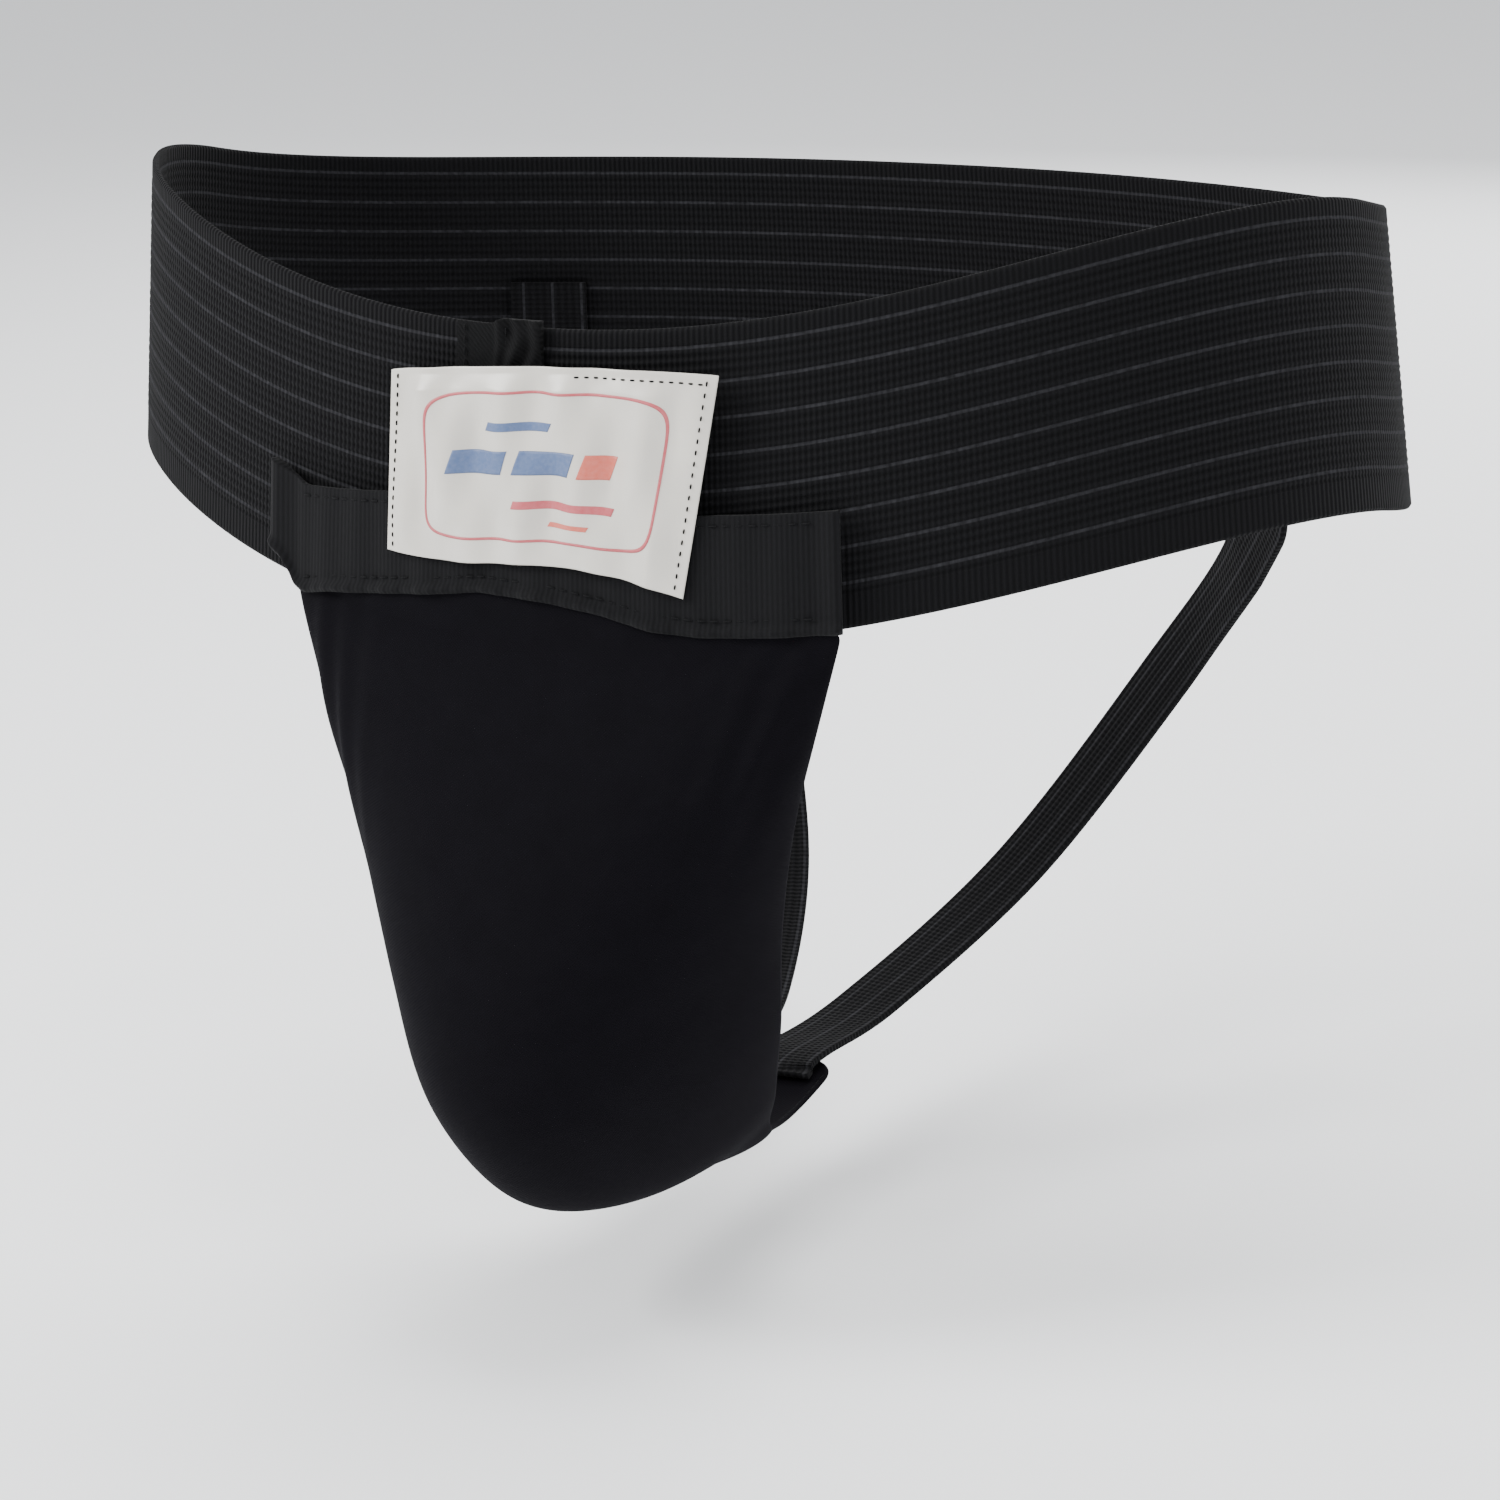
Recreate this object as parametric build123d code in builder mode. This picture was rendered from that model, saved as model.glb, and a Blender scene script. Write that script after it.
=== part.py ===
from build123d import *
import bisect
import math
import os

os.makedirs("parts", exist_ok=True)

# Groin protector: an elastic waistband, a knitted pouch that holds a hard cup, and two leg
# straps. Millimetres. The origin is the middle of the waist opening at half the band's
# height, +X is the wearer's left, -Y is the front and +Z is up.

# ---- Driving sizes ----

# Waistband: the inside of the band is a rounded oval that dips at the front and the back.
waist_half_width = 172.0
waist_half_depth = 104.0
oval_power = 2.14
band_height = 75.0
band_thickness = 1.6
band_flare = 3.5
hip_rise = 24.0
front_sag = 33.5
front_tip_sag = 13.5
back_lift = 12.0
band_end_gap = 1.0
band_joint = -7.0

# Layers sewn on the band. Each one clears the layer under it.
layer_gap = 0.3
cover_left = -21.0
cover_right = 8.5
cover_drop = 12.0
cover_thickness = 0.8
tape_length = 157.0
tape_width = 30.0
tape_thickness = 1.2
tape_overhang = 1.0
label_left = -43.0
label_right = 46.0
label_top = 25.5
label_height = 50.0
label_thickness = 0.5

# Pouch: an outer layer and a lining, sewn together along the sides.
pouch_thickness = 1.2
pouch_ease = 0.5
pouch_tuck = 22.0
lining_thickness = 0.8
lining_gap = 0.5
lining_slack = 4.5
lining_start = 0.95
lining_end = 7.2

# Sections of the pouch, from the band down and back to the crotch. Each one gives its half
# width, how far its edge is behind and below the lower edge of the band's front, and how far
# its middle is in front of and below that edge.
pouch_sections = [
    (72.0, 10.0, 18.0, 16.0, 35.0),
    (63.0, 13.5, 46.0, 26.0, 65.0),
    (55.5, 20.0, 73.0, 32.0, 94.0),
    (50.0, 27.5, 99.0, 28.0, 120.5),
    (42.5, 36.5, 121.0, 5.0, 145.0),
    (34.5, 47.0, 136.0, -28.0, 149.8),
    (29.0, 60.0, 142.0, -54.0, 148.3),
    (26.5, 79.0, 143.0, -76.0, 145.8),
    (26.0, 99.0, 139.0, -97.0, 141.0),
]

# Hard cup with a soft rim, both inside the pocket. Its outline is in steps along the
# pouch's sections and in degrees across them.
cup_gap = 1.6
cup_thickness = 2.6
cup_sweep = 66.0
cup_start = 0.8
cup_stop = 5.7
cup_shoulder = 0.9
cup_toe = 0.8
rim_radius = 2.4
rim_gap = 0.3
rim_sweep = 57.0
rim_margin = 0.04
vent_length = 18.0
vent_width = 4.5
vent_pitch = 12.0
vent_count = 4
vent_drop = 75.0

# Leg straps: flat elastic from the crotch to the inside of the band's back.
strap_width = 22.0
strap_thickness = 1.6
strap_rear_angle = 140.0
strap_rear_lap = 38.0
strap_lap_angle = 29.0
strap_sag = 2.2
tack_width = 18.0
tack_length = 5.0

# Sewing thread, as low ribs on the cloth.
thread_width = 0.8
thread_height = 0.35
thread_lift = 0.15
seam_inset = 2.5
seam_angle = 80.0

# ---- The band's surface ----

band_half = band_height / 2


def oval(angle, grow):
    """A point of the band's oval, angle degrees from the front, grown outwards."""
    s = math.sin(math.radians(angle))
    c = -math.cos(math.radians(angle))
    power = 2 / oval_power
    x = (waist_half_width + grow) * math.copysign(abs(s) ** power, s)
    return x, (waist_half_depth + grow) * math.copysign(abs(c) ** power, c)


def band_point(angle, height, level):
    """A point on the band: height above its midline, level outwards of its inner face."""
    flare = -band_flare * height / band_half
    x, y = oval(angle, flare + level)
    t = y / (waist_half_depth + flare + level)
    fore = min(t, 0.0)
    middle = -hip_rise * t - front_sag * fore**2 - front_tip_sag * fore**4
    return Vector(x, y, height + middle + back_lift * max(t, 0.0) ** 2)


def measure_band():
    """Angles from the front, and the distance round the band to each of them."""
    angles = [i / 2 for i in range(-360, 361)]
    lengths = [0.0]
    for a, b in zip(angles, angles[1:]):
        lengths.append(lengths[-1] + (band_point(b, 0, 0) - band_point(a, 0, 0)).length)
    middle = lengths[-1] / 2
    return angles, [v - middle for v in lengths]


arc_angles, arc_lengths = measure_band()
half_round = arc_lengths[-1]


def angle_at(arc):
    """The angle at a distance round the band from its front centre."""
    arc = (arc + half_round) % (2 * half_round) - half_round
    i = min(max(bisect.bisect_left(arc_lengths, arc), 1), len(arc_lengths) - 1)
    share = (arc - arc_lengths[i - 1]) / (arc_lengths[i] - arc_lengths[i - 1])
    return arc_angles[i - 1] + share * (arc_angles[i] - arc_angles[i - 1])


def arc_at(angle):
    """The distance round the band from its front centre to an angle."""
    return arc_lengths[bisect.bisect_left(arc_angles, angle)]


def steps(low, high, count):
    """Evenly spaced values from low to high."""
    return [low + (high - low) * i / (count - 1) for i in range(count)]


def band_profiles(start, end, bottom, top, level, thickness):
    """Cross-sections of a strip that lies on the band between two arcs."""
    profiles = []
    for arc in steps(start, end, max(3, round((end - start) / 13) + 1)):
        angle = angle_at(arc)
        low = band_point(angle, bottom, level)
        high = band_point(angle, top, level)
        along = (band_point(angle + 0.3, 0, 0) - band_point(angle - 0.3, 0, 0)).normalized()
        rise = (high - low).normalized()
        outwards = along.cross(rise).normalized()
        middle = (low + high) * 0.5 + outwards * (thickness / 2)
        with BuildSketch(Plane(middle, x_dir=outwards, z_dir=along)) as profile:
            Rectangle(thickness, (high - low).length)
        profiles.append(profile.sketch)
    return profiles


def ribbon_profiles(points, first_normal, last_normal, width, thickness):
    """Cross-sections of a strip along a curve, its face turning between two normals."""
    path = Spline(*points)
    profiles = []
    for t in steps(0.0, 1.0, 4 * len(points)):
        along = (path % t).normalized()
        normal = Vector(*first_normal) * (1 - t) + Vector(*last_normal) * t
        across = along.cross(normal).normalized()
        with BuildSketch(Plane(path @ t, x_dir=across, z_dir=along)) as profile:
            Rectangle(width, thickness)
        profiles.append(profile.sketch)
    return profiles


# ---- The pouch's surface ----

band_outside = band_thickness + layer_gap
tape_bottom = -band_half - tape_overhang
tape_half = tape_length / 2
edge_angle = angle_at(tape_half)
pouch_level = band_outside + pouch_ease + pouch_thickness
tape_level = pouch_level + pouch_ease + layer_gap
band_edge = band_point(edge_angle, -band_half, pouch_level)
band_middle = band_point(0, -band_half, pouch_level)
sections = [(band_edge.X, band_edge.Y - band_middle.Y, band_middle.Z - band_edge.Z, 0.1, 0.1)]
sections += pouch_sections


def section_at(position):
    """A section of the pouch, by smooth steps between the listed ones."""
    i = min(max(int(position), 0), len(sections) - 2)
    f = position - i
    a, b = sections[i], sections[i + 1]
    before = sections[i - 1] if i else a
    after = sections[i + 2] if i + 2 < len(sections) else b
    result = []
    for p, q, r, s in zip(before, a, b, after):
        slope = (r - p) / 2
        next_slope = (s - q) / 2
        rise = f * f * (3 - 2 * f)
        result.append(
            q + (r - q) * rise + slope * f * (1 - f) ** 2 - next_slope * f * f * (1 - f)
        )
    return result


def line_point(position, middle):
    """A point of the pouch's middle line, or of the plane of its two edges."""
    half_width, edge_back, edge_drop, middle_front, middle_drop = section_at(position)
    if middle:
        return Vector(0, band_middle.Y - middle_front, band_middle.Z - middle_drop)
    return Vector(0, band_middle.Y + edge_back, band_middle.Z - edge_drop)


def hanging_point(position, angle):
    """A point of the hanging pouch: angle is 0 at its middle and 90 at its edge."""
    edge = line_point(position, False)
    c = math.cos(math.radians(angle))
    side = Vector(section_at(position)[0] * math.sin(math.radians(angle)), 0, 0)
    return edge + (line_point(position, True) - edge) * ((c + c * c) / 2) + side


def tucked_point(height, angle):
    """A point of the pouch's top, which follows the band under the tape."""
    arc = tape_half * math.sin(math.radians(angle))
    return band_point(angle_at(arc), height, pouch_level)


def pouch_point(position, angle):
    """A point of the pouch's outside. Positions below 0 are heights up the band, in tucks."""
    if position < 0:
        return tucked_point(-band_half - pouch_tuck * position, angle)
    shift = tucked_point(-band_half, angle) - hanging_point(0, angle)
    return hanging_point(position, angle) + shift * max(0.0, 1 - position) ** 2


def inset_point(position, angle, inset):
    """A point of the pouch moved towards the wearer and the middle by inset."""
    edge = pouch_point(position, 90)
    middle = pouch_point(position, 0)
    depth = Vector(0, middle.Y - edge.Y, middle.Z - edge.Z).normalized()
    ahead = pouch_point(position + 0.1, 0) - pouch_point(position - 0.1, 0)
    point = pouch_point(position, angle)
    slant = depth.cross(ahead.normalized()).length
    shrunk = Vector(point.X * (1 - inset / edge.X), point.Y, point.Z)
    return shrunk - depth * (inset / slant)


def crescent(position, reach, inset, thickness):
    """A curved slice of the pouch, or of what lies in it, between plus and minus reach."""
    edge = pouch_point(position, 90)
    middle = pouch_point(position, 0)
    depth = Vector(0, middle.Y - edge.Y, middle.Z - edge.Z).normalized()
    origin = Vector(0, edge.Y, edge.Z)
    outside, inside = [], []
    for angle in steps(-reach, reach, 15):
        for points, amount in ((outside, inset), (inside, inset + thickness)):
            point = inset_point(position, angle, amount)
            points.append((point.X, (point - origin).dot(depth)))
    with BuildSketch(Plane(origin, x_dir=(1, 0, 0), z_dir=Vector(1, 0, 0).cross(depth))) as section:
        with BuildLine():
            Spline(*outside)
            Line(outside[-1], inside[-1])
            Spline(*reversed(inside))
            Line(inside[0], outside[0])
        make_face()
    return section.sketch


crotch = len(sections) - 1

# ---- Waistband: one elastic strip whose ends meet at the front ----

with BuildPart() as waistband:
    strip_start = band_joint + band_end_gap / 2
    strip_end = band_joint - band_end_gap / 2 + 2 * half_round
    loft(band_profiles(strip_start, strip_end, -band_half, band_half, 0, band_thickness))
waistband.part.label = "waistband"
export_step(waistband.part, "parts/waistband.step")

# ---- Join cover: a cloth patch over the strip's ends ----

with BuildPart() as join_cover:
    loft(band_profiles(cover_left, cover_right, -cover_drop, band_half, band_outside, cover_thickness))
join_cover.part.label = "join_cover"
export_step(join_cover.part, "parts/join_cover.step")

# ---- Pouch front: the knitted outer layer, tucked under the tape at its top ----

with BuildPart() as pouch_front:
    stations = steps(-1, 0, 5) + steps(0.25, 1, 4) + steps(1.5, crotch, 2 * crotch - 2)
    loft([crescent(position, 90, 0, pouch_thickness) for position in stations])
pouch_front.part.label = "pouch_front"
export_step(pouch_front.part, "parts/pouch_front.step")

# ---- Pocket lining: the flat inner layer, open at the top to take the cup ----

with BuildPart() as pocket_lining:
    lining_slices = []
    for position in steps(lining_start, lining_end, 13):
        reach = section_at(position)[0] - pouch_thickness - lining_gap
        ahead = line_point(position + 0.1, False) - line_point(position - 0.1, False)
        slack = Vector(1, 0, 0).cross(ahead).normalized() * lining_slack
        origin = line_point(position, False) + slack
        lining_plane = Plane(origin, x_dir=(1, 0, 0), z_dir=ahead)
        with BuildSketch(lining_plane) as lining_slice:
            Rectangle(2 * reach, lining_thickness)
        lining_slices.append(lining_slice.sketch)
    loft(lining_slices)
pocket_lining.part.label = "pocket_lining"
export_step(pocket_lining.part, "parts/pocket_lining.step")

# ---- Pouch tape: elastic over the top of the pouch ----

with BuildPart() as pouch_tape:
    tape_top = tape_bottom + tape_width
    loft(band_profiles(-tape_half, tape_half, tape_bottom, tape_top, tape_level, tape_thickness))
pouch_tape.part.label = "pouch_tape"
export_step(pouch_tape.part, "parts/pouch_tape.step")

# ---- Label: satin, sewn over the join cover and the tape ----

label_level = tape_level + tape_thickness + thread_lift + thread_height + layer_gap
label_bottom = label_top - label_height

with BuildPart() as label:
    loft(band_profiles(label_left, label_right, label_bottom, label_top, label_level, label_thickness))
label.part.label = "label"
export_step(label.part, "parts/label.step")

# ---- Cup shell: hard plastic with vent slots ----

cup_inset = pouch_thickness + cup_gap


def cup_point(share, angle, inset):
    """A point of the cup, share 0 at its rounded top and 1 at its rounded toe."""
    corner = (angle / cup_sweep) ** 4
    top = cup_start + cup_shoulder * corner
    toe = cup_stop - cup_toe * corner
    return inset_point(top + (toe - top) * share, angle, inset)


def cup_outline(inset, sweep_angle, margin):
    """Points round half the cup, margin inside its edge, from its top's middle to its toe's."""
    top, toe = margin, 1 - margin
    points = [cup_point(top, a, inset) for a in steps(0, 0.85 * sweep_angle, 5)]
    points += [cup_point(s, sweep_angle, inset) for s in steps(top + 0.08, toe - 0.08, 8)]
    return points + [cup_point(toe, a, inset) for a in steps(0.8 * sweep_angle, 0, 4)]


with BuildPart() as cup_shell:
    stations = steps(cup_start - 0.2, cup_stop + 0.2, 15)
    loft([crescent(position, cup_sweep + 3, cup_inset, cup_thickness) for position in stations])
    with BuildSketch(Plane.XZ):
        with BuildLine():
            half = [(p.X, p.Z) for p in cup_outline(cup_inset, cup_sweep, 0)]
            Spline(*half, tangents=((1, 0), (-1, 0)))
            Line(half[-1], half[0])
        make_face()
        mirror(about=Plane.YZ)
    extrude(amount=2 * waist_half_depth, mode=Mode.INTERSECT)
    vents = Plane((0, band_middle.Y, band_middle.Z - vent_drop), x_dir=(1, 0, 0), z_dir=(0, -1, 0))
    with BuildSketch(vents):
        with GridLocations(2 * vent_length, vent_pitch, 2, vent_count):
            SlotOverall(vent_length, vent_width)
    extrude(amount=waist_half_depth, mode=Mode.SUBTRACT)
cup_shell.part.label = "cup_shell"
export_step(cup_shell.part, "parts/cup_shell.step")

# ---- Cup rim: a soft bead fixed round the inside of the shell's edge ----

rim_inset = cup_inset + cup_thickness + rim_gap + rim_radius
with BuildPart() as cup_rim:
    with BuildLine():
        rim_line = Spline(*cup_outline(rim_inset, rim_sweep, rim_margin), tangents=((1, 0, 0), (-1, 0, 0)))
    with BuildSketch(Plane(rim_line @ 0, z_dir=rim_line % 0)):
        Circle(rim_radius)
    sweep()
    mirror(about=Plane.YZ)
cup_rim.part.label = "cup_rim"
export_step(cup_rim.part, "parts/cup_rim.step")

# ---- Leg straps ----

strap_lift = pouch_thickness + 2 * layer_gap + strap_thickness / 2
strap_level = -layer_gap - strap_sag - strap_thickness / 2
hem_bottom = band_point(strap_rear_angle, -band_half, strap_level)
rear_before = band_point(strap_rear_angle - 1, 0, 0)
rear_after = band_point(strap_rear_angle + 1, 0, 0)
rear_outwards = (rear_after - rear_before).cross(Vector(0, 0, 1)).normalized()


def strap_points(side):
    """The middle line of a strap: under the seat, round it and up to the band."""
    lift = Vector(0, 0, strap_lift)
    lap = pouch_point(crotch - 0.5, strap_lap_angle) + lift
    leave = pouch_point(crotch, strap_lap_angle) + lift
    seat = [
        leave + Vector(6, 35, 4),
        leave + Vector(28, 87, 32),
        hem_bottom + Vector(-42, 26, -66),
        hem_bottom + Vector(-14, 14, -28),
    ]
    rear = [
        hem_bottom,
        band_point(strap_rear_angle, -band_half + strap_rear_lap, strap_level),
    ]
    return [Vector(side * p.X, p.Y, p.Z) for p in [lap, leave] + seat + rear]


def strap_profiles(side):
    """Cross-sections of one leg strap."""
    start = (0.05 * side, 0, -1)
    end = (side * rear_outwards.X, rear_outwards.Y, 0)
    return ribbon_profiles(strap_points(side), start, end, strap_width, strap_thickness)


for strap_name, side in (("leg_strap_left", 1), ("leg_strap_right", -1)):
    with BuildPart() as leg_strap:
        loft(strap_profiles(side))
    leg_strap.part.label = strap_name
    export_step(leg_strap.part, f"parts/{strap_name}.step")

# ---- Sewing ----


def row(start, end, bottom, top, level):
    """A row of stitches on a strip whose outer face is at level."""
    return band_profiles(start, end, bottom, top, level + thread_lift, thread_height)


cover_outside = band_outside + cover_thickness
with BuildPart() as cover_stitching:
    for arc in (cover_left + seam_inset, cover_right - seam_inset):
        top = band_half - seam_inset
        loft(row(arc - thread_width / 2, arc + thread_width / 2, label_top + 1, top, cover_outside))
cover_stitching.part.label = "cover_stitching"
export_step(cover_stitching.part, "parts/cover_stitching.step")

tape_outside = tape_level + tape_thickness
for seam_name, seam_height in (
    ("tape_stitching_upper", tape_bottom + tape_width - seam_inset),
    ("tape_stitching_lower", tape_bottom + seam_inset),
):
    with BuildPart() as tape_stitching:
        reach = tape_half - seam_inset
        loft(row(-reach, reach, seam_height, seam_height + thread_width, tape_outside))
    tape_stitching.part.label = seam_name
    export_step(tape_stitching.part, f"parts/{seam_name}.step")

label_outside = label_level + label_thickness
with BuildPart() as label_stitching:
    low = label_bottom + seam_inset
    high = label_top - seam_inset
    for arc in (label_left + seam_inset, label_right - seam_inset):
        loft(row(arc - thread_width / 2, arc + thread_width / 2, low, high, label_outside))
    inner_left = label_left + 2 * seam_inset
    inner_right = label_right - 2 * seam_inset
    loft(row(inner_left, inner_right, high, high + thread_width, label_outside))
label_stitching.part.label = "label_stitching"
export_step(label_stitching.part, "parts/label_stitching.step")

for seam_name, side in (("side_seam_left", 1), ("side_seam_right", -1)):
    with BuildPart() as side_seam:
        seam_lift = -thread_lift - thread_height / 2
        seam_path = []
        for position in steps(0.6, crotch - 0.4, 12):
            seam_path.append(inset_point(position, side * seam_angle, seam_lift))
        loft(ribbon_profiles(seam_path, (side, 0, 0), (side, 0, 0), thread_width, thread_height))
    side_seam.part.label = seam_name
    export_step(side_seam.part, f"parts/{seam_name}.step")

for tack_name, side in (("front_tack_left", 1), ("front_tack_right", -1)):
    with BuildPart() as front_tack:
        lap_start, lap_end = strap_points(side)[:2]
        along = (lap_end - lap_start).normalized()
        up = along.cross(Vector(-1, 0, -0.05 * side)).normalized()
        seat_point = lap_start + (lap_end - lap_start) * 0.5 + up * (strap_thickness / 2 + 2 * layer_gap)
        with BuildSketch(Plane(seat_point, x_dir=along, z_dir=up)):
            Rectangle(tack_length, tack_width)
        extrude(amount=thread_height)
    front_tack.part.label = tack_name
    export_step(front_tack.part, f"parts/{tack_name}.step")

strap_arc = arc_at(strap_rear_angle)
for tack_name, side in (("rear_tack_left", 1), ("rear_tack_right", -1)):
    with BuildPart() as rear_tack:
        for height in (-band_half + seam_inset, -band_half + strap_rear_lap - seam_inset):
            start = side * strap_arc - tack_width / 2
            loft(row(start, start + tack_width, height, height + thread_width, band_thickness))
    rear_tack.part.label = tack_name
    export_step(rear_tack.part, f"parts/{tack_name}.step")
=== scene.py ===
import math

import bpy
import numpy as np
from mathutils import Euler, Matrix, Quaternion, Vector


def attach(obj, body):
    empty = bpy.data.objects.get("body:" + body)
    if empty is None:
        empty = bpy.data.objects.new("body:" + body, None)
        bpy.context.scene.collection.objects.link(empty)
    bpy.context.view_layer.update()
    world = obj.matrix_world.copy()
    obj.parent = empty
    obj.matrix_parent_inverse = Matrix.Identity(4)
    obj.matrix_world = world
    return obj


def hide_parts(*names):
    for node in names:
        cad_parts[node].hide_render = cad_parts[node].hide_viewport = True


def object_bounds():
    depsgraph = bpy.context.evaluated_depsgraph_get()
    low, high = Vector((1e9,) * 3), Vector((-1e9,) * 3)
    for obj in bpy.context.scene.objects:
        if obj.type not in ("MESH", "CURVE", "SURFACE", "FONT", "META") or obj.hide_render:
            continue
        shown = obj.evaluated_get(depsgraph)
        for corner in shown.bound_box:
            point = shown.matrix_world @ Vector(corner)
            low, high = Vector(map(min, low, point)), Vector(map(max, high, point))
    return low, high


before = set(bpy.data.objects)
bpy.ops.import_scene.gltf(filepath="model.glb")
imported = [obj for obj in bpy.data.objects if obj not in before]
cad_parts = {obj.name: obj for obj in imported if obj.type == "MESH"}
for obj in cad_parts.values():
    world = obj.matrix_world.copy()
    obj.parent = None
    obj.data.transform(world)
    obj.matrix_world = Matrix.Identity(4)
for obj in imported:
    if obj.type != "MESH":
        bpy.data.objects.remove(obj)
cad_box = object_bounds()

# ---- Studio ----
# A pale room of matt white paper, with soft light from both sides and above. The camera
# stands in front and to the wearer's left, a little above the waist, with a long lens.

scene = bpy.context.scene
MM = 0.001


def linear(colour):
    """An sRGB hex colour as linear red, green, blue and an alpha of 1."""
    parts = [int(colour[i : i + 2], 16) / 255 for i in (1, 3, 5)]
    return [c / 12.92 if c <= 0.04045 else ((c + 0.055) / 1.055) ** 2.4 for c in parts] + [1.0]


def add(tree, kind, inputs=None, **settings):
    """Adds a node, sets its properties, and fills its sockets with values or links."""
    made = tree.nodes.new(kind)
    for name, value in settings.items():
        setattr(made, name, value)
    for socket, value in (inputs or {}).items():
        if isinstance(value, bpy.types.NodeSocket):
            tree.links.new(value, made.inputs[socket])
        else:
            made.inputs[socket].default_value = value
    return made


def blank_material(name):
    """A new material with an empty node tree, and that tree."""
    made = bpy.data.materials.new(name)
    made.use_nodes = True
    made.node_tree.nodes.clear()
    return made, made.node_tree


def finish_material(tree, shader):
    """Links a shader to the material's output."""
    add(tree, "ShaderNodeOutputMaterial", {"Surface": shader.outputs[0]})


camera_place = (0.5144, -0.8869, 0.1827)
camera_aim = (0.0546, -0.1, -0.0846)
camera_roll = math.radians(-2.08)
camera_data = bpy.data.cameras.new("camera")
camera_data.lens = 95.4
camera_data.sensor_width = 36.0
camera = bpy.data.objects.new("camera", camera_data)
scene.collection.objects.link(camera)
camera.location = camera_place
looking = np.array(camera_aim) - np.array(camera_place)
tilt = math.atan2(-looking[2], math.hypot(looking[0], looking[1]))
turn = math.atan2(-looking[0], looking[1])
camera.rotation_mode = "QUATERNION"
aimed = Euler((math.pi / 2 - tilt, 0, turn)).to_quaternion()
camera.rotation_quaternion = aimed @ Quaternion((0, 0, 1), camera_roll)
scene.camera = camera


def soft_light(name, place, aim, size, power):
    """A square lamp that points from its place to its aim."""
    data = bpy.data.lights.new(name, "AREA")
    data.size = size
    data.energy = power
    lamp = bpy.data.objects.new(name, data)
    lamp.location = place
    lamp.rotation_euler = (Vector(aim) - Vector(place)).to_track_quat("-Z", "Y").to_euler()
    scene.collection.objects.link(lamp)


middle = (0, -0.05, -0.08)
soft_light("key_light", (-1.1, -0.9, 0.8), middle, 0.7, 34)
soft_light("fill_light", (1.5, -0.7, 0.5), middle, 1.2, 14)
soft_light("top_light", (0.1, 0.3, 1.5), middle, 1.2, 26)
soft_light("back_light", (-0.2, 1.6, 0.6), middle, 1.2, 16)
world = bpy.data.worlds.new("pale_room")
world.use_nodes = True
world.node_tree.nodes["Background"].inputs["Color"].default_value = linear("#f4f5f7")
world.node_tree.nodes["Background"].inputs["Strength"].default_value = 1.05
scene.world = world
floor_mesh = bpy.data.meshes.new("floor")
floor_reach = 4.0
floor_gap = 0.03
floor_z = cad_box[0][2] - floor_gap
floor_corners = [(-1, -1), (1, -1), (1, 1), (-1, 1)]
floor_points = [(x * floor_reach, y * floor_reach, floor_z) for x, y in floor_corners]
floor_mesh.from_pydata(floor_points, [], [(0, 1, 2, 3)])
floor = bpy.data.objects.new("floor", floor_mesh)
scene.collection.objects.link(floor)
floor_material, floor_tree = blank_material("matte_white_paper")
paper = add(
    floor_tree, "ShaderNodeBsdfPrincipled", {"Base Color": linear("#f6f7f8"), "Roughness": 0.9}
)
finish_material(floor_tree, paper)
floor_mesh.materials.append(floor_material)

# ---- Waistband ----
# One strip of woven elastic, 75 mm wide, whose ends meet at the front. It has fine ribs
# along it, eight paler yarns, and a firm woven edge at the top and the bottom.

waist_half_width = 172.0
waist_half_depth = 104.0
oval_power = 2.14
band_half = 37.5
band_thickness = 1.6
band_flare = 3.5
hip_rise = 24.0
front_sag = 33.5
front_tip_sag = 13.5
back_lift = 12.0
band_joint = -7.0
band_end_gap = 1.0
rib_pitch = 2.12
rib_height = 0.11
pick_pitch = 1.45
stripe_pitch = 8.5
top_stripe = 32.8
ribs_top = 33.6
ribs_bottom = -29.4


def band_at_angle(angle, height, level):
    """The band's surface: a superellipse that flares downwards, on a midline that dips.

    Its midline rises to the hips, falls in front as a square and a fourth power of how far
    forward the point is, and falls gently at the back.
    """
    s, c = np.sin(angle), -np.cos(angle)
    grow = level - band_flare * height / band_half
    power = 2 / oval_power
    t = np.sign(c) * np.abs(c) ** power
    x = (waist_half_width + grow) * np.sign(s) * np.abs(s) ** power
    y = (waist_half_depth + grow) * t
    fore, aft = np.minimum(t, 0), np.maximum(t, 0)
    z = height - hip_rise * t - front_sag * fore**2 - front_tip_sag * fore**4 + back_lift * aft**2
    return np.stack(np.broadcast_arrays(x, y, z), -1)


table_angles = np.radians(np.linspace(-180, 180, 2881))
table_line = band_at_angle(table_angles, 0.0, 0.0)
table_arcs = np.r_[0, np.cumsum(np.linalg.norm(np.diff(table_line, axis=0), axis=1))]
half_round = table_arcs[-1] / 2
table_arcs = table_arcs - half_round


def band(arc, height, level):
    """The band's surface at a distance round it from the front's centre, in millimetres."""
    wrapped = (np.asarray(arc) + half_round) % (2 * half_round) - half_round
    return band_at_angle(np.interp(wrapped, table_arcs, table_angles), height, level)


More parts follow.
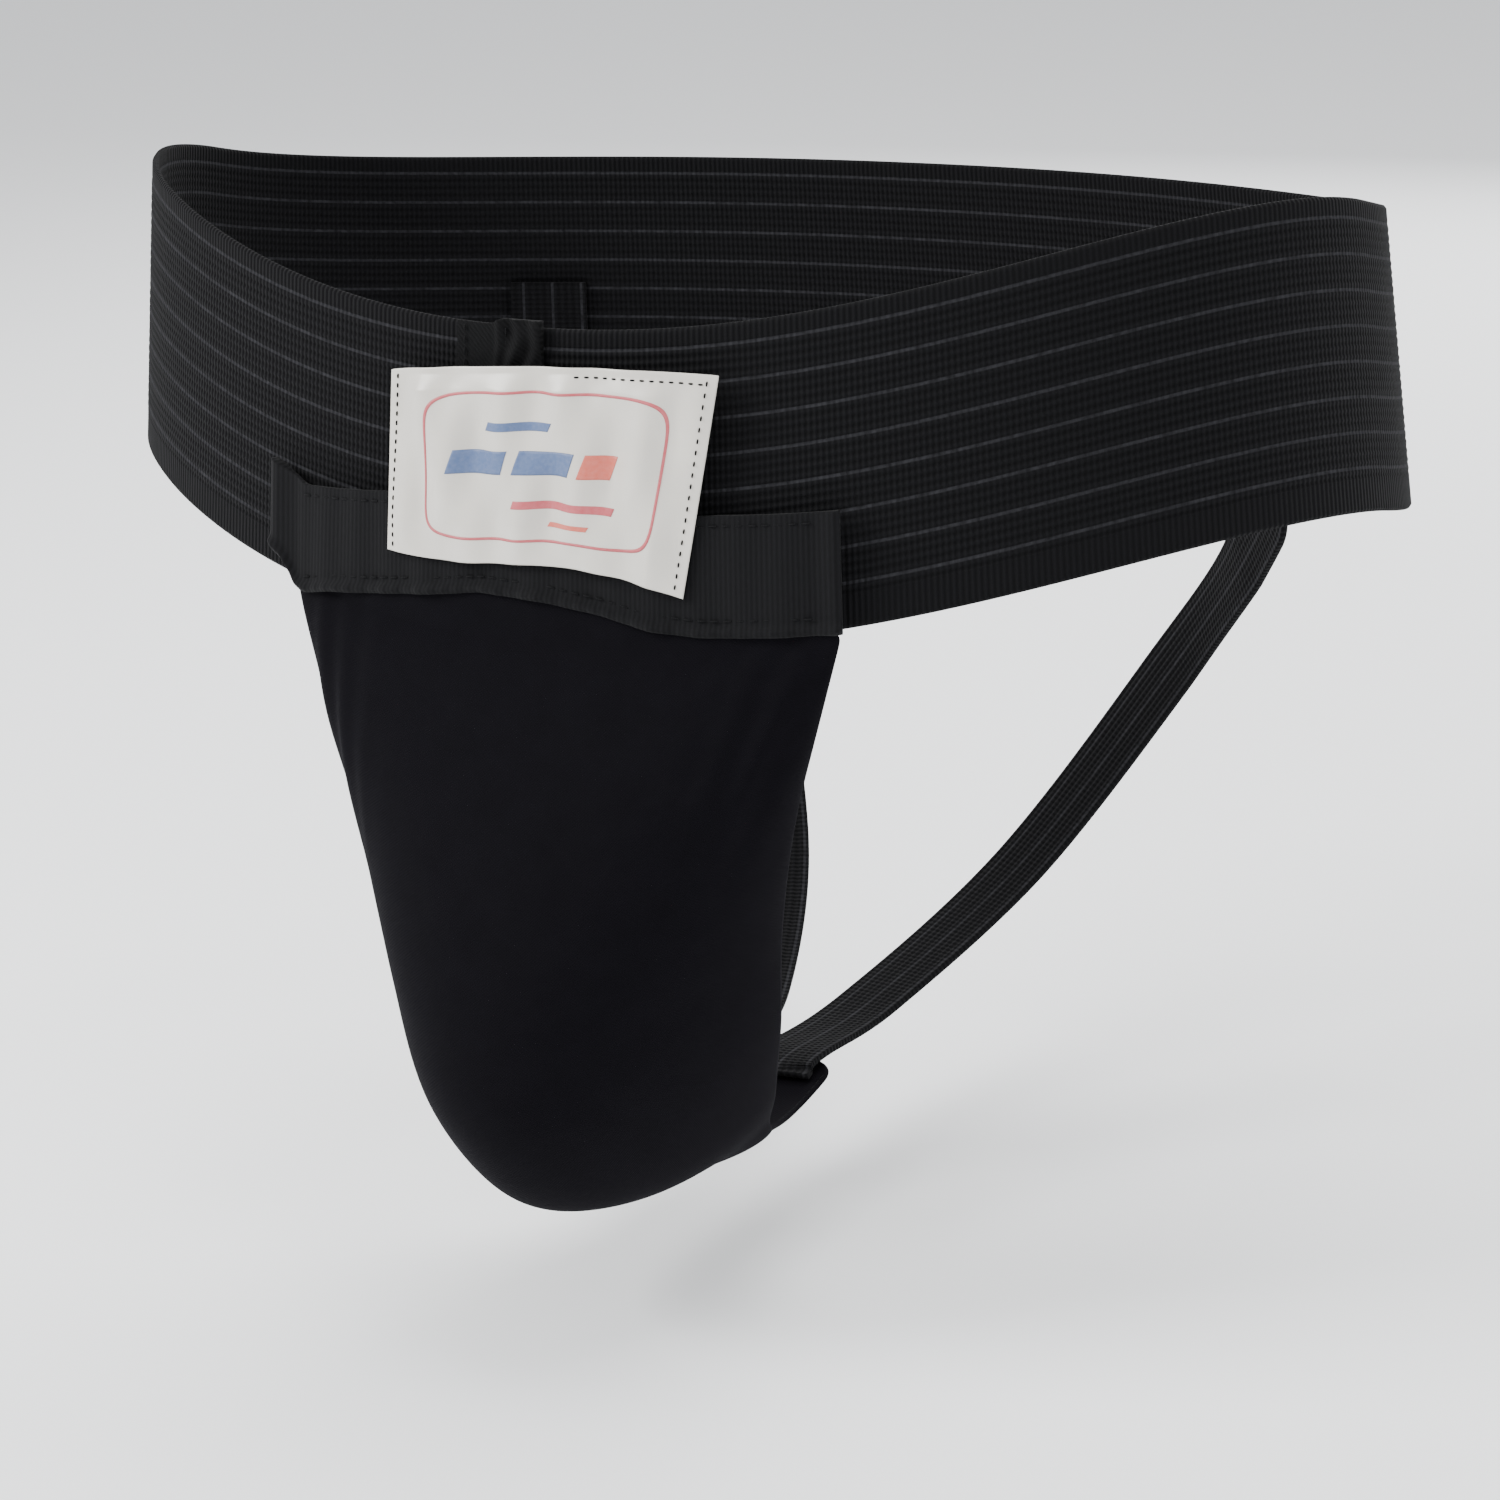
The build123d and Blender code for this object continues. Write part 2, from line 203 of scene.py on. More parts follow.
def new_piece(name, points, faces, across, material):
    """A mesh object from points in millimetres, quads, and a UV map in millimetres."""
    mesh = bpy.data.meshes.new(name)
    mesh.vertices.add(len(points))
    mesh.vertices.foreach_set("co", (points * MM).astype(np.float32).ravel())
    mesh.loops.add(faces.size)
    mesh.loops.foreach_set("vertex_index", faces.astype(np.int32).ravel())
    mesh.polygons.add(len(faces))
    mesh.polygons.foreach_set(
        "loop_start", np.arange(0, faces.size, faces.shape[1], dtype=np.int32)
    )
    mesh.polygons.foreach_set("use_smooth", np.full(len(faces), True))
    layer = mesh.uv_layers.new(name="millimetres")
    layer.data.foreach_set("uv", across[faces.ravel()].astype(np.float32).ravel())
    mesh.update(calc_edges=True)
    mesh.validate()
    mesh.materials.append(material)
    piece = bpy.data.objects.new(name, mesh)
    scene.collection.objects.link(piece)
    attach(piece, "supporter")
    return piece


def slab(name, outer, inner, u, v, material):
    """A closed sheet between two grids of points, with walls round its four edges."""
    rows, columns = outer.shape[:2]
    index = np.arange(rows * columns).reshape(rows, columns)
    back = index + rows * columns
    face = np.stack([index[:-1, :-1], index[:-1, 1:], index[1:, 1:], index[1:, :-1]], -1)
    face = face.reshape(-1, 4)
    rear = np.stack([back[:-1, :-1], back[1:, :-1], back[1:, 1:], back[:-1, 1:]], -1).reshape(-1, 4)
    ring = np.r_[index[0, :], index[1:, -1], index[-1, -2::-1], index[-2:0:-1, 0]]
    after = np.roll(ring, -1)
    wall = np.stack([after, ring, ring + rows * columns, after + rows * columns], -1)
    points = np.concatenate([outer.reshape(-1, 3), inner.reshape(-1, 3)])
    grid = np.stack(np.broadcast_arrays(u, v, np.zeros(outer.shape[:2])), -1)
    grid = grid[..., :2].reshape(-1, 2)
    return new_piece(
        name,
        points,
        np.concatenate([face, rear, wall]),
        np.concatenate([grid, grid]),
        material,
    )


# Black polyester and rubber elastic: matt, with a faint sheen on each rib. Its base colour is also
# painted lighter on the raised ribs and picks, a painted highlight, and darker in the grooves,
# painted shade, with random tone from the fuzz noise.
band_cloth, tree = blank_material("ribbed_woven_elastic")
uv = add(tree, "ShaderNodeUVMap", uv_map="millimetres")
split = add(tree, "ShaderNodeSeparateXYZ", {0: uv.outputs[0]})
along, height = split.outputs["X"], split.outputs["Y"]
below = add(tree, "ShaderNodeMath", {0: top_stripe, 1: height}, operation="SUBTRACT")
rows = add(
    tree,
    "ShaderNodeMath",
    {0: below.outputs[0], 1: 1 / stripe_pitch, 2: 0.5},
    operation="MULTIPLY_ADD",
)
part = add(tree, "ShaderNodeMath", {0: rows.outputs[0]}, operation="FRACT")
off = add(tree, "ShaderNodeMath", {0: part.outputs[0], 1: 0.5}, operation="SUBTRACT")
away = add(tree, "ShaderNodeMath", {0: off.outputs[0]}, operation="ABSOLUTE")
stripe = add(
    tree,
    "ShaderNodeMapRange",
    {0: away.outputs[0], 1: 0.03, 2: 0.06, 3: 1.0, 4: 0.0},
    interpolation_type="SMOOTHSTEP",
)
under_top = add(tree, "ShaderNodeMath", {0: height, 1: ribs_top}, operation="LESS_THAN")
over_bottom = add(tree, "ShaderNodeMath", {0: height, 1: ribs_bottom}, operation="GREATER_THAN")
body = add(
    tree,
    "ShaderNodeMath",
    {0: under_top.outputs[0], 1: over_bottom.outputs[0]},
    operation="MULTIPLY",
)
worn_yarn = add(tree, "ShaderNodeTexNoise", {"Vector": uv.outputs[0], "Scale": 0.55, "Detail": 3.0})
strength = add(
    tree, "ShaderNodeMapRange", {0: worn_yarn.outputs[0], 1: 0.3, 2: 0.65, 3: 0.35, 4: 1.0}
)
stripe_worn = add(
    tree, "ShaderNodeMath", {0: stripe.outputs[0], 1: strength.outputs[0]}, operation="MULTIPLY"
)
stripe_in_body = add(
    tree, "ShaderNodeMath", {0: stripe_worn.outputs[0], 1: body.outputs[0]}, operation="MULTIPLY"
)
rib_phase = add(
    tree, "ShaderNodeMath", {0: height, 1: 2 * math.pi / rib_pitch}, operation="MULTIPLY"
)
rib = add(tree, "ShaderNodeMath", {0: rib_phase.outputs[0]}, operation="COSINE")
pick_phase = add(
    tree, "ShaderNodeMath", {0: along, 1: 2 * math.pi / pick_pitch}, operation="MULTIPLY"
)
pick = add(tree, "ShaderNodeMath", {0: pick_phase.outputs[0]}, operation="COSINE")
rib_share = add(
    tree, "ShaderNodeMath", {0: rib.outputs[0], 1: body.outputs[0]}, operation="MULTIPLY"
)
fuzz = add(
    tree,
    "ShaderNodeTexNoise",
    {"Vector": uv.outputs[0], "Scale": 1.3, "Detail": 4.0, "Roughness": 0.7},
)
relief = add(tree, "ShaderNodeMath", {0: rib_share.outputs[0], 1: pick.outputs[0]}, operation="ADD")
relief_fuzz = add(
    tree, "ShaderNodeMath", {0: relief.outputs[0], 1: fuzz.outputs[0]}, operation="ADD"
)
# Painted highlight and shade: the base colour follows the rib, pick and fuzz relief, lighter where
# the surface stands higher.
lift = add(tree, "ShaderNodeMapRange", {0: relief_fuzz.outputs[0], 1: -1.2, 2: 2.6})
tone = add(
    tree,
    "ShaderNodeMix",
    {0: lift.outputs[0], 6: linear("#060607"), 7: linear("#121214")},
    data_type="RGBA",
)
coloured = add(
    tree,
    "ShaderNodeMix",
    {0: stripe_in_body.outputs[0], 6: tone.outputs[2], 7: linear("#28282b")},
    data_type="RGBA",
)
bump = add(
    tree, "ShaderNodeBump", {"Height": relief_fuzz.outputs[0], "Distance": 0.00018, "Strength": 0.8}
)
shader = add(
    tree,
    "ShaderNodeBsdfPrincipled",
    {
        "Base Color": coloured.outputs[2],
        "Roughness": 0.88,
        "IOR": 1.46,
        "Sheen Weight": 0.012,
        "Sheen Roughness": 0.5,
        "Specular IOR Level": 0.09,
        "Normal": bump.outputs[0],
    },
)
finish_material(tree, shader)

end_gap = band_end_gap / 2
arcs = np.linspace(band_joint + end_gap, band_joint - end_gap + 2 * half_round, 430)
heights = np.linspace(-band_half, band_half, 101)[:, None]
ribbed = (heights < ribs_top) & (heights > ribs_bottom)
ribs = rib_height * np.cos(2 * np.pi * heights / rib_pitch) * ribbed
round_over = 0.8
edge_round = 0.5 * np.clip((np.abs(heights) - band_half + round_over) / round_over, 0, 1) ** 2
band_outer = band(arcs[None], heights, band_thickness + ribs - edge_round)
band_inner = band(arcs[None], heights, edge_round - ribs)
waistband = slab(
    "waistband_elastic", band_outer, band_inner, arcs[None], heights, band_cloth
)
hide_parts("waistband")

# ---- Join cover ----
# A short piece of soft black cloth folded over the strip's two ends and stitched down. Its
# right half has rucked up, so it stands above the band's edge there.

# Black cotton plain weave: quite matt, with a soft linty surface and no shine.
plain_cloth, tree = blank_material("plain_woven_cotton")
uv = add(tree, "ShaderNodeUVMap", uv_map="millimetres")
weave = add(
    tree,
    "ShaderNodeTexWave",
    {"Vector": uv.outputs[0], "Scale": 0.45, "Distortion": 1.5, "Detail": 2.0},
    bands_direction="DIAGONAL",
)
lint = add(
    tree,
    "ShaderNodeTexNoise",
    {"Vector": uv.outputs[0], "Scale": 0.6, "Detail": 6.0, "Roughness": 0.7},
)
both = add(tree, "ShaderNodeMath", {0: weave.outputs[1], 1: lint.outputs[0]}, operation="ADD")
tone = add(
    tree,
    "ShaderNodeMix",
    {0: both.outputs[0], 6: linear("#060606"), 7: linear("#101011")},
    data_type="RGBA",
)
bump = add(tree, "ShaderNodeBump", {"Height": both.outputs[0], "Distance": 0.0003, "Strength": 0.6})
shader = add(
    tree,
    "ShaderNodeBsdfPrincipled",
    {
        "Base Color": tone.outputs[2],
        "Roughness": 0.93,
        "Specular IOR Level": 0.1,
        "Normal": bump.outputs[0],
    },
)
finish_material(tree, shader)

cover_left, cover_right = -21.0, 3.6
cover_drop = 12.0
cover_arcs = np.linspace(cover_left, cover_right, 110)[None]
cover_rise = np.linspace(0, 1, 130)[:, None]
rucked = 1 / (1 + np.exp(-(cover_arcs + 9.5) * 1.6))
cover_top = band_half + 0.4 + 1.6 * rucked
cover_heights = -cover_drop + (cover_top + cover_drop) * cover_rise
upper = rucked * np.clip((cover_heights - 20) / 6, 0, 1)
creases = 0.55 * np.sin(cover_arcs * 1.15 + 1.6 * np.sin(cover_heights * 0.31))
lumps = 0.5 * np.sin(cover_arcs * 0.5 + 0.8) * np.sin(cover_heights * 0.55)
cover_rest = 1.95
cover_level = cover_rest + 0.9 * upper
cover_outer = band(cover_arcs, cover_heights, cover_level + 0.75 + (creases + lumps) * upper)
cover_inner = band(cover_arcs, cover_heights, cover_rest - 0.1 + 0.3 * upper)
join_cover = slab(
    "join_cover_cloth",
    cover_outer,
    cover_inner,
    cover_arcs,
    cover_heights,
    plain_cloth,
)
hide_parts("join_cover")

# ---- Pouch front ----
# The smooth knitted outer layer of the pouch, cut with a rounded toe. Its top is sewn flat
# to the band under the tape, and the hard cup behind it keeps it full and round.

layer_gap = 0.3
pouch_ease = 0.5
pouch_thickness = 1.2
pouch_tuck = 22.0
pouch_level = band_thickness + layer_gap + pouch_ease + pouch_thickness
tape_half = 78.5
seat = band(np.array([tape_half, 0.0]), -band_half, pouch_level)
edge_place, front_place = seat
pouch_sections = np.array(
    [
        (edge_place[0], edge_place[1] - front_place[1], front_place[2] - edge_place[2], 0.1, 0.1),
        (72.0, 10.0, 18.0, 16.0, 35.0),
        (63.0, 13.5, 46.0, 26.0, 65.0),
        (55.5, 20.0, 73.0, 32.0, 94.0),
        (50.0, 27.5, 99.0, 28.0, 120.5),
        (42.5, 36.5, 121.0, 5.0, 145.0),
        (34.5, 47.0, 136.0, -28.0, 149.8),
        (29.0, 60.0, 142.0, -54.0, 148.3),
        (26.5, 79.0, 143.0, -76.0, 145.8),
        (26.0, 99.0, 139.0, -97.0, 141.0),
    ]
)


def section_at(position):
    """Pouch sections between the listed ones, by a cubic whose slopes are central steps."""
    last = len(pouch_sections) - 1
    i = np.clip(np.floor(position).astype(int), 0, last - 1)
    f = (position - i)[..., None]
    a, b = pouch_sections[i], pouch_sections[i + 1]
    before = pouch_sections[np.maximum(i - 1, 0)]
    after = pouch_sections[np.minimum(i + 2, last)]
    ease = f * f * (3 - 2 * f)
    first_bend = (b - before) / 2 * f * (1 - f) ** 2
    last_bend = (after - a) / 2 * f * f * (1 - f)
    return a + (b - a) * ease + first_bend - last_bend


def hanging(position, angle):
    """The hanging pouch: half an oval, flatter at its sides, on each section's plane."""
    half_width, back, drop, forward, down = np.moveaxis(section_at(position), -1, 0)
    share = (np.cos(angle) + np.cos(angle) ** 2) / 2
    x = half_width * np.sin(angle)
    y = front_place[1] + back - (back + forward) * share
    z = front_place[2] - drop - (down - drop) * share
    return np.stack([x, y, z], -1)


def pouch(position, angle):
    """The pouch's outside: the band's curve above its lower edge, easing into its own."""
    position, angle = np.broadcast_arrays(position, angle)
    top = np.where(position < 0, -band_half - pouch_tuck * position, -band_half)
    tucked = band(tape_half * np.sin(angle), top, pouch_level)
    below = np.maximum(position, 0.0)
    shift = band(tape_half * np.sin(angle), -band_half, pouch_level) - hanging(0.0 * below, angle)
    hung = hanging(below, angle) + shift * (np.maximum(0, 1 - below) ** 2)[..., None]
    return np.where((position < 0)[..., None], tucked, hung)


def inward_normals(points):
    """Unit normals of a grid of points, from the cross product of its two steps."""
    down, across = np.gradient(points, axis=0), np.gradient(points, axis=1)
    normal = np.cross(down, across)
    return normal / np.linalg.norm(normal, axis=-1, keepdims=True)


# Black cotton and elastane jersey: very matt, with a faint cool bloom at a low angle.
knit_cloth, tree = blank_material("cotton_jersey")
uv = add(tree, "ShaderNodeUVMap", uv_map="millimetres")
split = add(tree, "ShaderNodeSeparateXYZ", {0: uv.outputs[0]})
wale_phase = add(
    tree, "ShaderNodeMath", {0: split.outputs["X"], 1: 2 * math.pi / 0.95}, operation="MULTIPLY"
)
wale = add(tree, "ShaderNodeMath", {0: wale_phase.outputs[0]}, operation="SINE")
course_phase = add(
    tree, "ShaderNodeMath", {0: split.outputs["Y"], 1: 2 * math.pi / 0.8}, operation="MULTIPLY"
)
course = add(tree, "ShaderNodeMath", {0: course_phase.outputs[0]}, operation="SINE")
loops = add(
    tree, "ShaderNodeMath", {0: wale.outputs[0], 1: course.outputs[0]}, operation="MULTIPLY"
)
lint = add(
    tree,
    "ShaderNodeTexNoise",
    {"Vector": uv.outputs[0], "Scale": 0.09, "Detail": 7.0, "Roughness": 0.65},
)
grain = add(tree, "ShaderNodeMath", {0: loops.outputs[0], 1: lint.outputs[0]}, operation="ADD")
tone = add(
    tree,
    "ShaderNodeMix",
    {0: lint.outputs[0], 6: linear("#060508"), 7: linear("#0c0b0f")},
    data_type="RGBA",
)
bump = add(
    tree, "ShaderNodeBump", {"Height": grain.outputs[0], "Distance": 0.00006, "Strength": 0.5}
)
shader = add(
    tree,
    "ShaderNodeBsdfPrincipled",
    {
        "Base Color": tone.outputs[2],
        "Roughness": 0.95,
        "IOR": 1.45,
        "Specular IOR Level": 0.07,
        "Sheen Weight": 0.014,
        "Sheen Roughness": 0.45,
        "Sheen Tint": linear("#9a95b0"),
        "Normal": bump.outputs[0],
    },
)
finish_material(tree, shader)

positions = np.r_[np.linspace(-1, 0, 18)[:-1], np.linspace(0, 9, 190)][:, None]
angles = np.radians(np.linspace(-90, 90, 121))[None]
pouch_outer = pouch(positions, angles)
towards_wearer = inward_normals(pouch_outer)
# Shallow folds hang from the tape's ends, and the cloth slackens over the toe.
across = np.sin(angles)
fold_zone = np.exp(-((positions - 0.9) ** 2) / 0.8) * np.exp(-((np.abs(across) - 0.85) ** 2) / 0.03)
folds = 0.5 * fold_zone * np.sin(across * 46 + positions * 3)
slack = 0.35 * np.sin(positions * 5.1 + across * 4) * np.exp(-((positions - 6.2) ** 2) / 1.5)
pouch_outer = pouch_outer - towards_wearer * (folds + slack)[..., None]


def pulled_in(points, position, across):
    """Moves the pouch's right side towards its middle, as it was pulled on.

    It moves most just under the band, and fades with the 1.5th power of how far across.
    """
    under_band = np.clip((position + 0.35) / 0.35, 0, 1)
    move = under_band * (
        3.6 * np.exp(-np.maximum(position, 0) / 0.9) + 3.6 * np.clip(8 - position, 0, 1)
    )
    moved = points.copy()
    moved[..., 0] = moved[..., 0] + move * np.clip(-across, 0, 1) ** 1.5
    return moved


pouch_outer = pulled_in(pouch_outer, positions, across)
# The crotch end's corners are turned in and rounded.
end_share = np.clip((positions - 8.55) / 0.45, 0, 1)
pouch_outer[..., 0] = pouch_outer[..., 0] * (1 - 0.2 * end_share**2 * np.abs(across) ** 2)
pouch_inner = pouch_outer + towards_wearer * pouch_thickness
down_mm = np.r_[0, np.cumsum(np.linalg.norm(np.diff(pouch_outer[:, 60], axis=0), axis=1))][:, None]
across_mm = np.cumsum(
    np.linalg.norm(np.diff(pouch_outer, axis=1, prepend=pouch_outer[:, :1]), axis=-1), axis=1
)
across_mm = across_mm - across_mm[:, 60:61]
pouch_front = slab(
    "pouch_front_knit", pouch_outer, pouch_inner, across_mm, down_mm, knit_cloth
)
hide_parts("pouch_front")

# ---- Pouch tape ----
# A 30 mm elastic over the top of the pouch, sewn along both edges. Its lower edge has
# rolled up in the middle and gone fluffy, and its ends are turned under.

# Brushed black elastic: a little greyer than the knit, with faint ribs across it and lint.
tape_cloth, tree = blank_material("soft_ribbed_elastic")
uv = add(tree, "ShaderNodeUVMap", uv_map="millimetres")
split = add(tree, "ShaderNodeSeparateXYZ", {0: uv.outputs[0]})
rib_phase = add(
    tree, "ShaderNodeMath", {0: split.outputs["X"], 1: 2 * math.pi / 1.25}, operation="MULTIPLY"
)
rib = add(tree, "ShaderNodeMath", {0: rib_phase.outputs[0]}, operation="SINE")
lint = add(
    tree,
    "ShaderNodeTexNoise",
    {"Vector": uv.outputs[0], "Scale": 0.8, "Detail": 6.0, "Roughness": 0.75},
)
rib_faint = add(tree, "ShaderNodeMath", {0: rib.outputs[0], 1: 0.4}, operation="MULTIPLY")
soft = add(tree, "ShaderNodeMath", {0: rib_faint.outputs[0], 1: lint.outputs[0]}, operation="ADD")
spread = add(tree, "ShaderNodeMapRange", {0: soft.outputs[0], 1: -0.2, 2: 1.2})
tone = add(
    tree,
    "ShaderNodeMix",
    {0: spread.outputs[0], 6: linear("#0a0a0b"), 7: linear("#141416")},
    data_type="RGBA",
)
bump = add(
    tree, "ShaderNodeBump", {"Height": soft.outputs[0], "Distance": 0.00012, "Strength": 0.6}
)
shader = add(
    tree,
    "ShaderNodeBsdfPrincipled",
    {
        "Base Color": tone.outputs[2],
        "Roughness": 0.92,
        "Specular IOR Level": 0.1,
        "Sheen Weight": 0.025,
        "Sheen Roughness": 0.5,
        "Normal": bump.outputs[0],
    },
)
finish_material(tree, shader)

tape_thickness = 1.2
tape_level = pouch_level + pouch_ease + layer_gap


def through(knots, values, softness):
    """A line through knots, softened by a cosine window that is 2 * softness + 1 steps wide."""
    line = np.interp(knots, *np.transpose(values))
    window = np.hanning(2 * softness + 3)[1:-1]
    return np.convolve(np.pad(line, softness, mode="edge"), window / window.sum(), mode="valid")


tape_share = np.linspace(0, 1, 260)
low_edge = [(-79, -30), (-74.5, -31.5), (-70.5, -38.2), (-67, -38.8), (-58, -35.6), (-35, -30.6)]
low_edge += [
    (-12, -26.4), (5, -26.8), (21, -29.4), (33, -32.8), (46, -34.9), (60, -35.8), (80, -37.6)
]
high_edge = [(-79, -7.9), (-74, -9.2), (-67, -11.6), (-40, -6.4), (0, -5.2), (51, -6.3), (80, -8.7)]
tape_arcs = -78.6 + (79.6 + 78.6) * tape_share
tape_low = through(tape_arcs, low_edge, 6)[None]
tape_high = through(tape_arcs, high_edge, 3)[None]
rise = np.linspace(0, 1, 64)[:, None]
tape_heights = tape_low + (tape_high - tape_low) * rise
from_edge = tape_heights - tape_low
fluff = 1 + 0.3 * np.sin(tape_arcs * 0.43) + 0.1 * np.sin(tape_arcs * 1.7 + 1)
rolled = 1.2 * np.exp(-((from_edge - 1.3) ** 2) / 1.5) * fluff[None]
long_ripple = 0.35 * np.sin(tape_arcs * 0.21 + 1.0)[None] * (1 - rise)
ripple = long_ripple + 0.15 * np.sin(tape_arcs * 0.6)[None]
# Each end is turned under: a raised facet with a groove on its inner side.
facet = 1.5 * np.exp(-((tape_arcs + 76.5) ** 2) / 7) - 0.55 * np.exp(-((tape_arcs + 70.5) ** 2) / 4)
facet = facet + 0.8 * np.exp(-((tape_arcs - 78.0) ** 2) / 3)
facet = facet - 0.35 * np.exp(-((tape_arcs - 73.5) ** 2) / 3)
tape_face = tape_level + tape_thickness + rolled + ripple + facet[None]
tape_outer = band(tape_arcs[None], tape_heights, tape_face)
tape_inner = band(tape_arcs[None], tape_heights, tape_level + 0.1)
pouch_tape = slab(
    "pouch_tape_elastic",
    tape_outer,
    tape_inner,
    tape_arcs[None],
    tape_heights,
    tape_cloth,
)
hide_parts("pouch_tape")

# ---- Label ----
# Off-white polyester satin, about 90 by 50 mm, sewn over the tape along its sides and top.
# It is puckered, and it carries a plain printed frame and bars in red, blue and orange.

label_width, label_height, label_thickness = 90.0, 50.0, 0.5
label_level = tape_level + 2.0


def label_surface(u, v, lift):
    """The label at u from left to right and v from bottom to top, lifted off the tape.

    Its corners are fixed arcs and heights, its lower edge arches up, and its face is
    puckered by slanting waves that fade at its sewn sides.
    """
    u, v = np.broadcast_arrays(u, v)
    left = -38.2 + 0.8 * v
    right = 41.9 + 9.6 * v
    arc = left + (right - left) * u
    bottom = -20.0 - 5.1 * u**2 + 3.4 * np.sin(np.pi * u) - 1.4 * np.sin(2 * np.pi * u)
    top = 24.1 + 2.3 * u + 4.4 * np.sin(np.pi * u) ** 0.8
    height = bottom + (top - bottom) * v
    free = np.clip(np.minimum(u, 1 - u) * 9, 0, 1) * np.clip((1 - v) * 9, 0.3, 1)
    waves = 1.0 * np.sin(27 * u + 4.5 * v + 2.6 * u * u) + 0.5 * np.sin(43 * u - 5 * v + 1.0)
    waves = (waves + 1.5) * free * np.clip(0.42 + v * 3, 0, 1)
    return band(arc, height, label_level + lift + waves)


# Woven polyester satin: off-white, with a broad soft shine and slight yellowing.
satin, tree = blank_material("polyester_satin")
uv = add(tree, "ShaderNodeUVMap", uv_map="millimetres")
stains = add(tree, "ShaderNodeTexNoise", {"Vector": uv.outputs[0], "Scale": 0.05, "Detail": 3.0})
thread_wave = add(
    tree,
    "ShaderNodeTexWave",
    {"Vector": uv.outputs[0], "Scale": 0.8, "Distortion": 0.4},
    bands_direction="X",
)
tone = add(
    tree,
    "ShaderNodeMix",
    {0: stains.outputs[0], 6: linear("#bdb9b1"), 7: linear("#d9d5cc")},
    data_type="RGBA",
)
bump = add(
    tree, "ShaderNodeBump", {"Height": thread_wave.outputs[1], "Distance": 0.00003, "Strength": 0.4}
)
shader = add(
    tree,
    "ShaderNodeBsdfPrincipled",
    {
        "Base Color": tone.outputs[2],
        "Roughness": 0.33,
        "IOR": 1.54,
        "Anisotropic": 0.4,
        "Sheen Weight": 0.1,
        "Normal": bump.outputs[0],
    },
)
finish_material(tree, shader)

u = np.linspace(0, 1, 220)[None]
v = np.linspace(0, 1, 130)[:, None]
label_face, label_back = label_surface(u, v, label_thickness), label_surface(u, v, 0.0)
satin_label = slab(
    "label_cloth", label_face, label_back, u * label_width, v * label_height, satin
)
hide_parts("label")


def ink(name, colour):
    """Screen ink on satin: slightly glossy and a little faded."""
    made, tree = blank_material(name)
    uv = add(tree, "ShaderNodeUVMap", uv_map="millimetres")
    worn = add(tree, "ShaderNodeTexNoise", {"Vector": uv.outputs[0], "Scale": 0.9, "Detail": 4.0})
    faded = [c + (0.7 - c) * 0.14 for c in linear(colour)[:3]] + [1.0]
    tone = add(
        tree, "ShaderNodeMix", {0: worn.outputs[0], 6: linear(colour), 7: faded}, data_type="RGBA"
    )
    shader = add(
        tree, "ShaderNodeBsdfPrincipled", {"Base Color": tone.outputs[2], "Roughness": 0.5}
    )
    finish_material(tree, shader)
    return made


ink_top, ink_bottom = 0.58, 0.48


def on_label(x, y, lift):
    """The label's surface at millimetres from its lower left corner."""
    return label_surface(x / label_width, y / label_height, lift)


red_ink = ink("red_screen_ink", "#b23a44")
blue_ink = ink("blue_screen_ink", "#33507f")
orange_ink = ink("orange_screen_ink", "#c5503a")
frame_line = np.linspace(0, 2 * np.pi, 400)[:-1]


def print_frame(grow):
    """A squared circle: each direction's radius is the seventh root of its powers' sum."""
    c, s = np.cos(frame_line), np.sin(frame_line)
    radius = (np.abs(c) ** 7 + np.abs(s) ** 7) ** (-1 / 7)
    return 46 + (34 + grow) * c * radius, 25 + (19 + grow) * s * radius


outside_line, inside_line = print_frame(0.0), print_frame(-0.7)
frame_x = np.stack([outside_line[0], inside_line[0]])
frame_y = np.stack([outside_line[1], inside_line[1]])
frame_x = np.concatenate([frame_x, frame_x[:, :1]], axis=1)
frame_y = np.concatenate([frame_y, frame_y[:, :1]], axis=1)
slab(
    "label_print_frame",
    on_label(frame_x, frame_y, ink_top)[::-1],
    on_label(frame_x, frame_y, ink_bottom)[::-1],
    frame_x,
    frame_y,
    red_ink,
)
# Slanted bars: left, right, bottom, top, how far the top leans right, and the ink.
printed_bars = [
    (20, 36, 23, 29, 1.5, blue_ink),
    (39, 55, 23, 29, 1.5, blue_ink),
    (30, 48, 34, 36.2, 1.0, blue_ink),
    (58, 66, 23, 29, 1.5, orange_ink),
    (40, 68, 14.5, 16.5, 0.6, red_ink),
    (50, 62, 10, 11.2, 0.6, orange_ink),
]
for number, (left, right, bottom, top, slant, bar_ink) in enumerate(printed_bars, 1):
    s = np.linspace(0, 1, 40)[None]
    t = np.linspace(0, 1, 10)[:, None]
    x = left + (right - left) * s + slant * t
    y = bottom + (top - bottom) * t + 0 * s
    face, back = on_label(x, y, ink_top), on_label(x, y, ink_bottom)
    slab(f"label_print_bar_{number}", face, back, x, y, bar_ink)

# ---- Pocket lining ----
# The flat inner layer of the pouch: light mesh cloth, sewn down both sides and open at the
# top, where the cup goes in.

